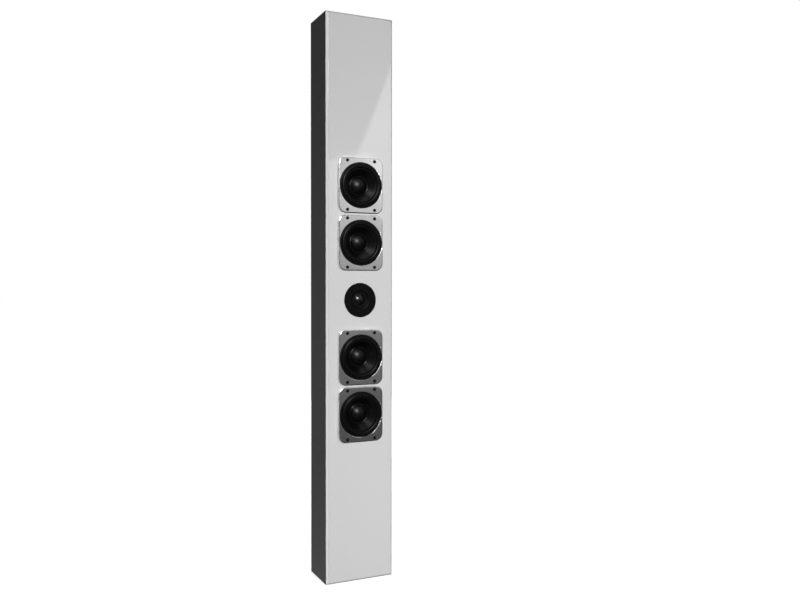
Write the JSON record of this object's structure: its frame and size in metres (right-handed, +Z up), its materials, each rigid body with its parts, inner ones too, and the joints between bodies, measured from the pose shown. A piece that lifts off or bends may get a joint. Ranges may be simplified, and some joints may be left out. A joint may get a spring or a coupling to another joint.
{
  "type": "floorstanding speaker",
  "caption": "Slim floorstanding loudspeaker: a column of cone woofers around a dome tweeter in a tall sealed cabinet, with screw-clamp terminals at the back.",
  "frame": {"origin": "centre of the cabinet's base, on the floor", "axes": "+Z up; the drivers face -Y; +X to the right seen from the front"},
  "size_m": [0.156, 0.1053, 1.22],
  "materials": {
    "cabinet_lacquer": "fibreboard with light silver gloss lacquer",
    "raw_board": "raw fibreboard",
    "wadding": "loose polyester felt",
    "gasket_foam": "matte closed-cell foam",
    "steel": "zinc-plated",
    "ferrite": "dull ground ferrite",
    "tinned_tab": "tinned",
    "screw_black": "black oxide, satin",
    "faceplate_black": "satin moulded",
    "dome": "gloss black film dome",
    "dome_cloth": "coated cloth",
    "coil_copper": "enamelled copper wire",
    "cup_plastic": "satin moulded",
    "post_brass": "bright plated",
    "cap_red": "gloss",
    "cap_black": "gloss",
    "board_green": "lacquered laminate",
    "capacitor": "film sleeve",
    "lead_jacket": "matte insulation",
    "frame_silver": "fine satin, die-cast",
    "surround_rubber": "satin butyl rubber",
    "cone_black": "satin moulded polymer",
    "cap_dome": "satin moulded polymer",
    "coil_former": "foil former with copper winding",
    "spider_cloth": "resin-dipped cotton"
  },
  "bodies": {
    "cabinet": {"back_panel": "cabinet_lacquer", "baffle": "raw_board", "binding_post_nuts": "post_brass", "binding_post_studs": "post_brass", "bottom_panel": "cabinet_lacquer", "braces": "raw_board", "crossover_board": "board_green", "crossover_capacitors": "capacitor", "crossover_inductors": "coil_copper", "damping_wadding": "wadding", "floor_inserts": "post_brass", "front_panel": "cabinet_lacquer", "internal_leads": "lead_jacket", "left_side": "cabinet_lacquer", "right_side": "cabinet_lacquer", "terminal_cup": "cup_plastic", "terminal_cup_screws": "screw_black", "top_panel": "cabinet_lacquer", "tweeter_faceplate": "faceplate_black", "tweeter_magnet": "ferrite", "tweeter_screws": "screw_black", "tweeter_surround": "dome_cloth", "tweeter_top_plate": "steel", "tweeter_yoke": "steel", "woofer_1_frame": "frame_silver", "woofer_1_spider": "spider_cloth", "woofer_1_surround": "surround_rubber", "woofer_2_frame": "frame_silver", "woofer_2_spider": "spider_cloth", "woofer_2_surround": "surround_rubber", "woofer_3_frame": "frame_silver", "woofer_3_spider": "spider_cloth", "woofer_3_surround": "surround_rubber", "woofer_4_frame": "frame_silver", "woofer_4_spider": "spider_cloth", "woofer_4_surround": "surround_rubber", "woofer_gaskets": "gasket_foam", "woofer_magnets": "ferrite", "woofer_screws": "screw_black", "woofer_terminals": "tinned_tab", "woofer_top_plates": "steel", "woofer_yokes": "steel"},
    "woofer_1_diaphragm": {"woofer_1_cone": "cone_black", "woofer_1_dust_cap": "cap_dome", "woofer_1_voice_coil": "coil_former"},
    "woofer_2_diaphragm": {"woofer_2_cone": "cone_black", "woofer_2_dust_cap": "cap_dome", "woofer_2_voice_coil": "coil_former"},
    "woofer_3_diaphragm": {"woofer_3_cone": "cone_black", "woofer_3_dust_cap": "cap_dome", "woofer_3_voice_coil": "coil_former"},
    "woofer_4_diaphragm": {"woofer_4_cone": "cone_black", "woofer_4_dust_cap": "cap_dome", "woofer_4_voice_coil": "coil_former"},
    "tweeter_diaphragm": {"tweeter_dome": "dome", "tweeter_voice_coil": "coil_copper"},
    "red_clamp": {"red_post_washer": "post_brass"},
    "red_cap": {"red_post_cap": "cap_red"},
    "black_clamp": {"black_post_washer": "post_brass"},
    "black_cap": {"black_post_cap": "cap_black"}
  },
  "joints": [
    {"name": "woofer_1_travel", "type": "slide", "parent": "cabinet", "child": "woofer_1_diaphragm", "axis": [0, -1, 0], "range_m": [-0.003, 0.003], "stiffness_N_per_m": 1000, "deforming": ["woofer_1_surround", "woofer_1_spider"]},
    {"name": "woofer_2_travel", "type": "slide", "parent": "cabinet", "child": "woofer_2_diaphragm", "axis": [0, -1, 0], "range_m": [-0.003, 0.003], "stiffness_N_per_m": 1000, "deforming": ["woofer_2_surround", "woofer_2_spider"]},
    {"name": "woofer_3_travel", "type": "slide", "parent": "cabinet", "child": "woofer_3_diaphragm", "axis": [0, -1, 0], "range_m": [-0.003, 0.003], "stiffness_N_per_m": 1000, "deforming": ["woofer_3_surround", "woofer_3_spider"]},
    {"name": "woofer_4_travel", "type": "slide", "parent": "cabinet", "child": "woofer_4_diaphragm", "axis": [0, -1, 0], "range_m": [-0.003, 0.003], "stiffness_N_per_m": 1000, "deforming": ["woofer_4_surround", "woofer_4_spider"]},
    {"name": "tweeter_travel", "type": "slide", "parent": "cabinet", "child": "tweeter_diaphragm", "axis": [0, -1, 0], "range_m": [-0.0003, 0.0003], "stiffness_N_per_m": 2000, "deforming": ["tweeter_surround"]},
    {"name": "red_clamp_travel", "type": "slide", "parent": "cabinet", "child": "red_clamp", "axis": [0, 1, 0], "range_m": [0, 0.005]},
    {"name": "red_cap_turn", "type": "hinge", "parent": "red_clamp", "child": "red_cap", "pos_m": [0.0095, 0.034, 0.13], "axis": [0, 1, 0], "range_deg": [0, 2400]},
    {"name": "black_clamp_travel", "type": "slide", "parent": "cabinet", "child": "black_clamp", "axis": [0, 1, 0], "range_m": [0, 0.005]},
    {"name": "black_cap_turn", "type": "hinge", "parent": "black_clamp", "child": "black_cap", "pos_m": [-0.0095, 0.034, 0.13], "axis": [0, 1, 0], "range_deg": [0, 2400]}
  ],
  "couplings": [
    {"joint": "red_cap_turn", "follows": "red_clamp_travel", "rad_per_m": 8377.6},
    {"joint": "black_cap_turn", "follows": "black_clamp_travel", "rad_per_m": 8377.6}
  ]
}
